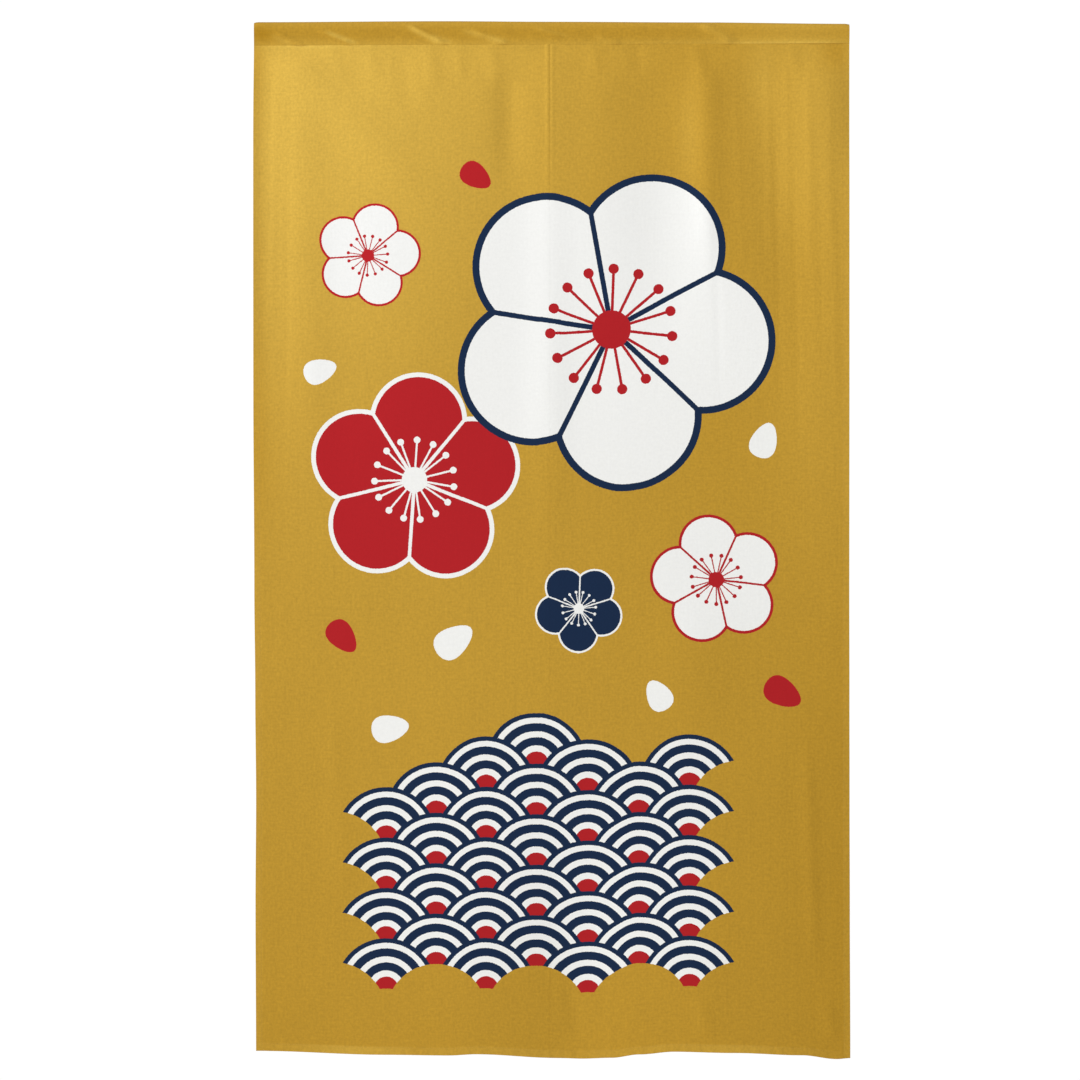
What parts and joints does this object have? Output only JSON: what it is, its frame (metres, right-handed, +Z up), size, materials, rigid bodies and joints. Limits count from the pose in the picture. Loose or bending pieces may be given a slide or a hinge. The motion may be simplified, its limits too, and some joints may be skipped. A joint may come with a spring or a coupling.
{
  "type": "noren curtain",
  "caption": "Printed cloth doorway curtain with a rod sleeve along its top and a centre slit between hemmed panels.",
  "frame": {"origin": "middle of the rod sleeve's top edge, which is where the curtain is held up", "axes": "+Z up, against the hang; +X to the viewer's right across the curtain; -Y towards the viewer, out of the printed face"},
  "size_m": [0.8531, 0.0173, 1.4822],
  "materials": {
    "sleeve_cloth": "mustard gold plain-woven polyester, matt",
    "panel_cloth": "mustard gold plain-woven polyester, matt, with white, red and navy print"
  },
  "bodies": {
    "root": {"heading_sleeve": "sleeve_cloth", "left_panel": "panel_cloth", "right_panel": "panel_cloth"}
  },
  "joints": []
}
